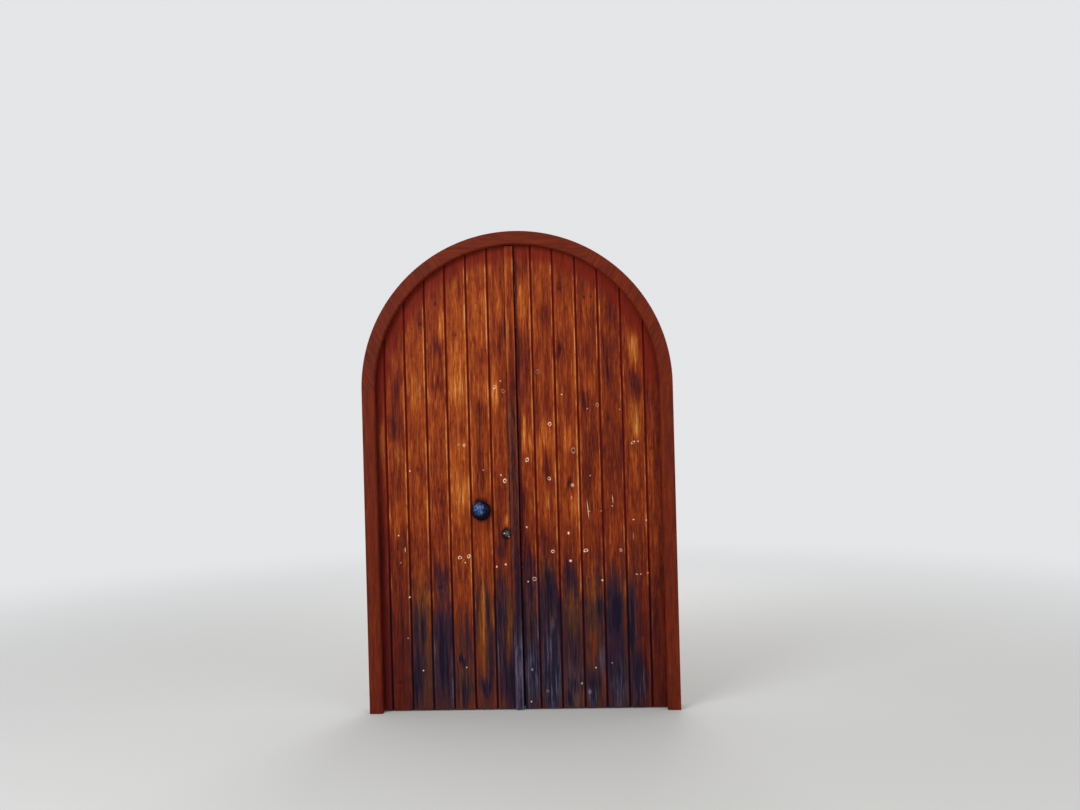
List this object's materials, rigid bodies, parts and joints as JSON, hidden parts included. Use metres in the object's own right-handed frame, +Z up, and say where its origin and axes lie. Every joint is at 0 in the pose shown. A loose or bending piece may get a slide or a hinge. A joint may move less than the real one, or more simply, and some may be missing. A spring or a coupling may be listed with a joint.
{
  "type": "arched double door",
  "caption": "Round-headed double door of vertical matched boards in its wooden frame, with a round pull knob, a cylinder rim lock, strap hinges and upright bolts.",
  "frame": {"origin": "on the sill's level under the jambs, at the middle of the whole door's width and depth", "axes": "-Y faces outside, +Y is the inside that the leaves open towards, +Z up"},
  "size_m": [1.42, 0.1667, 2.1899],
  "materials": {
    "board_wood": "old red-brown varnish, worn and water-stained",
    "framing_wood": "brown stain under a thin varnish",
    "frame_wood": "old red-brown varnish",
    "strip_wood": "dark varnish, worn grey on its arrises",
    "knob_iron": "black, hammered, waxed",
    "hinge_iron": "black forged",
    "lock_metal": "dull nickel, tarnished",
    "plug_metal": "dull",
    "case_paint": "black japanned",
    "bolt_metal": "plain worn steel"
  },
  "bodies": {
    "frame": {"left_jamb": "frame_wood", "right_jamb": "frame_wood", "left_haunch": "frame_wood", "right_haunch": "frame_wood", "crown_segment": "frame_wood", "frame_loose_tenons": "frame_wood", "left_lower_pintle": "hinge_iron", "left_upper_pintle": "hinge_iron", "right_lower_pintle": "hinge_iron", "right_upper_pintle": "hinge_iron", "frame_nails": "hinge_iron", "top_bolt_keeper": "hinge_iron"},
    "left_leaf": {"left_board_1": "board_wood", "left_board_2": "board_wood", "left_board_3": "board_wood", "left_board_4": "board_wood", "left_board_5": "board_wood", "left_board_6": "board_wood", "left_board_7": "board_wood", "left_meeting_stile": "framing_wood", "left_hanging_stile": "framing_wood", "left_arch_rail": "framing_wood", "left_bottom_rail": "framing_wood", "left_lock_rail": "framing_wood", "left_top_rail": "framing_wood", "left_lower_strap": "hinge_iron", "left_upper_strap": "hinge_iron", "left_strap_nails": "hinge_iron", "meeting_strip": "strip_wood", "knob": "knob_iron", "knob_rose": "knob_iron", "knob_nut": "hinge_iron", "cylinder_rose": "lock_metal", "cylinder_body": "lock_metal", "lock_case": "case_paint", "case_nails": "hinge_iron"},
    "right_leaf": {"right_board_1": "board_wood", "right_board_2": "board_wood", "right_board_3": "board_wood", "right_board_4": "board_wood", "right_board_5": "board_wood", "right_board_6": "board_wood", "right_board_7": "board_wood", "right_meeting_stile": "framing_wood", "right_hanging_stile": "framing_wood", "right_arch_rail": "framing_wood", "right_bottom_rail": "framing_wood", "right_lock_rail": "framing_wood", "right_top_rail": "framing_wood", "right_lower_strap": "hinge_iron", "right_upper_strap": "hinge_iron", "right_strap_nails": "hinge_iron", "lock_keeper": "case_paint", "keeper_nails": "hinge_iron", "bolt_guides": "hinge_iron", "guide_nails": "hinge_iron"},
    "cylinder_plug": {"cylinder_plug": "plug_metal"},
    "lock_bolt": {"lock_bolt": "bolt_metal"},
    "top_bolt": {"top_bolt_rod": "bolt_metal"},
    "bottom_bolt": {"bottom_bolt_rod": "bolt_metal"}
  },
  "joints": [
    {"name": "left_leaf_hinge", "type": "hinge", "parent": "frame", "child": "left_leaf", "pos_m": [-0.668, 0.057, 0.1], "axis": [0, 0, 1], "range_deg": [0, 105]},
    {"name": "right_leaf_hinge", "type": "hinge", "parent": "frame", "child": "right_leaf", "pos_m": [0.668, 0.057, 0.1], "axis": [0, 0, -1], "range_deg": [0, 105]},
    {"name": "plug_turn", "type": "hinge", "parent": "left_leaf", "child": "cylinder_plug", "pos_m": [-0.0605, -0.0135, 0.81], "axis": [0, 1, 0], "range_deg": [0, 360]},
    {"name": "lock_bolt_slide", "type": "slide", "parent": "left_leaf", "child": "lock_bolt", "axis": [1, 0, 0], "range_m": [0, 0.025]},
    {"name": "top_bolt_slide", "type": "slide", "parent": "right_leaf", "child": "top_bolt", "axis": [0, 0, 1], "range_m": [0, 0.028]},
    {"name": "bottom_bolt_slide", "type": "slide", "parent": "right_leaf", "child": "bottom_bolt", "axis": [0, 0, -1], "range_m": [0, 0.028]}
  ],
  "couplings": [
    {"joint": "plug_turn", "follows": "lock_bolt_slide", "rad_per_m": 251.32}
  ]
}
